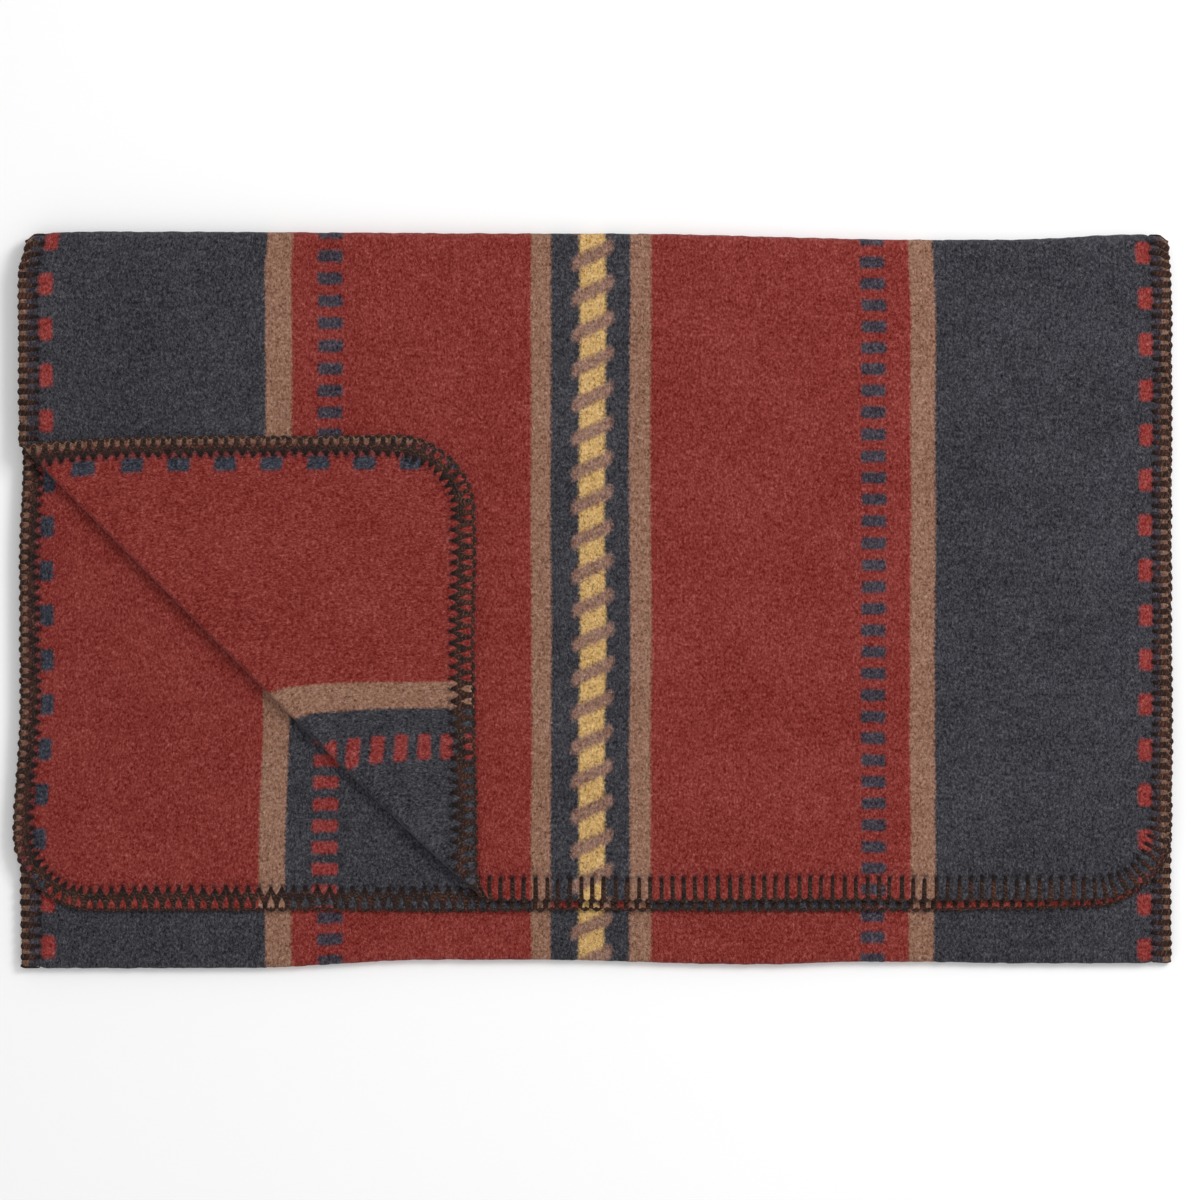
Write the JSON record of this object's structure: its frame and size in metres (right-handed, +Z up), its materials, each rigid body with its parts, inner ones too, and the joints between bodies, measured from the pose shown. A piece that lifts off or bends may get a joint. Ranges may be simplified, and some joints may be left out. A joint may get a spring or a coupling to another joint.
{
  "type": "camp blanket",
  "caption": "Woven wool camp blanket, folded in half twice into a flat stack, with stitched edges, rounded corners and a corner of the top layer turned back.",
  "frame": {"origin": "middle of the folded blanket's footprint, on the surface it lies on", "axes": "+X across the blanket's width, +Y towards the upper folds, +Z up out of the stack"},
  "size_m": [0.762, 0.4816, 0.0196],
  "materials": {
    "wool_cloth": "felted jacquard wool, deep red with slate, tan and gold yarns",
    "edging_yarn": "thick matte dark brown wool yarn"
  },
  "bodies": {
    "lower": {"bottom_layer_cloth": "wool_cloth", "bottom_layer_edging_left": "edging_yarn", "bottom_layer_edging_right": "edging_yarn", "inner_fold_cloth": "wool_cloth", "inner_fold_edging_left": "edging_yarn", "inner_fold_edging_right": "edging_yarn", "lower_fold_cloth": "wool_cloth", "lower_fold_edging_left": "edging_yarn", "lower_fold_edging_right": "edging_yarn", "outer_fold_cloth": "wool_cloth", "outer_fold_edging_left": "edging_yarn", "outer_fold_edging_right": "edging_yarn", "second_layer_cloth": "wool_cloth", "second_layer_edging_left": "edging_yarn", "second_layer_edging_right": "edging_yarn"},
    "third_layer": {"third_layer_cloth": "wool_cloth", "third_layer_edging_end": "edging_yarn", "third_layer_edging_left": "edging_yarn", "third_layer_edging_left_corner": "edging_yarn", "third_layer_edging_right": "edging_yarn", "third_layer_edging_right_corner": "edging_yarn"},
    "top_layer": {"corner_fold_cloth": "wool_cloth", "corner_fold_edging_left": "edging_yarn", "corner_fold_edging_right": "edging_yarn", "top_layer_cloth": "wool_cloth", "top_layer_edging_end": "edging_yarn", "top_layer_edging_left": "edging_yarn", "top_layer_edging_right": "edging_yarn", "top_layer_edging_right_corner": "edging_yarn"},
    "corner": {"corner_cloth": "wool_cloth", "corner_edging_end": "edging_yarn", "corner_edging_side": "edging_yarn", "corner_edging_tip": "edging_yarn"}
  },
  "joints": [
    {"name": "top_fold", "type": "hinge", "parent": "lower", "child": "top_layer", "pos_m": [0, 0.233, 0.0078], "axis": [-1, 0, 0], "range_deg": [0, 180], "deforming": ["outer_fold_cloth", "outer_fold_edging_left", "outer_fold_edging_right"]},
    {"name": "inner_fold", "type": "hinge", "parent": "lower", "child": "third_layer", "pos_m": [0, 0.233, 0.0078], "axis": [-1, 0, 0], "range_deg": [0, 180], "deforming": ["inner_fold_cloth", "inner_fold_edging_left", "inner_fold_edging_right"]},
    {"name": "corner_fold", "type": "hinge", "parent": "top_layer", "child": "corner", "pos_m": [-0.2305, -0.0473, 0.0158], "axis": [0.7071, -0.7071, 0], "range_deg": [0, 180], "deforming": ["corner_fold_cloth", "corner_fold_edging_left", "corner_fold_edging_right"]}
  ],
  "couplings": [
    {"joint": "inner_fold", "follows": "top_fold", "ratio": 1}
  ]
}
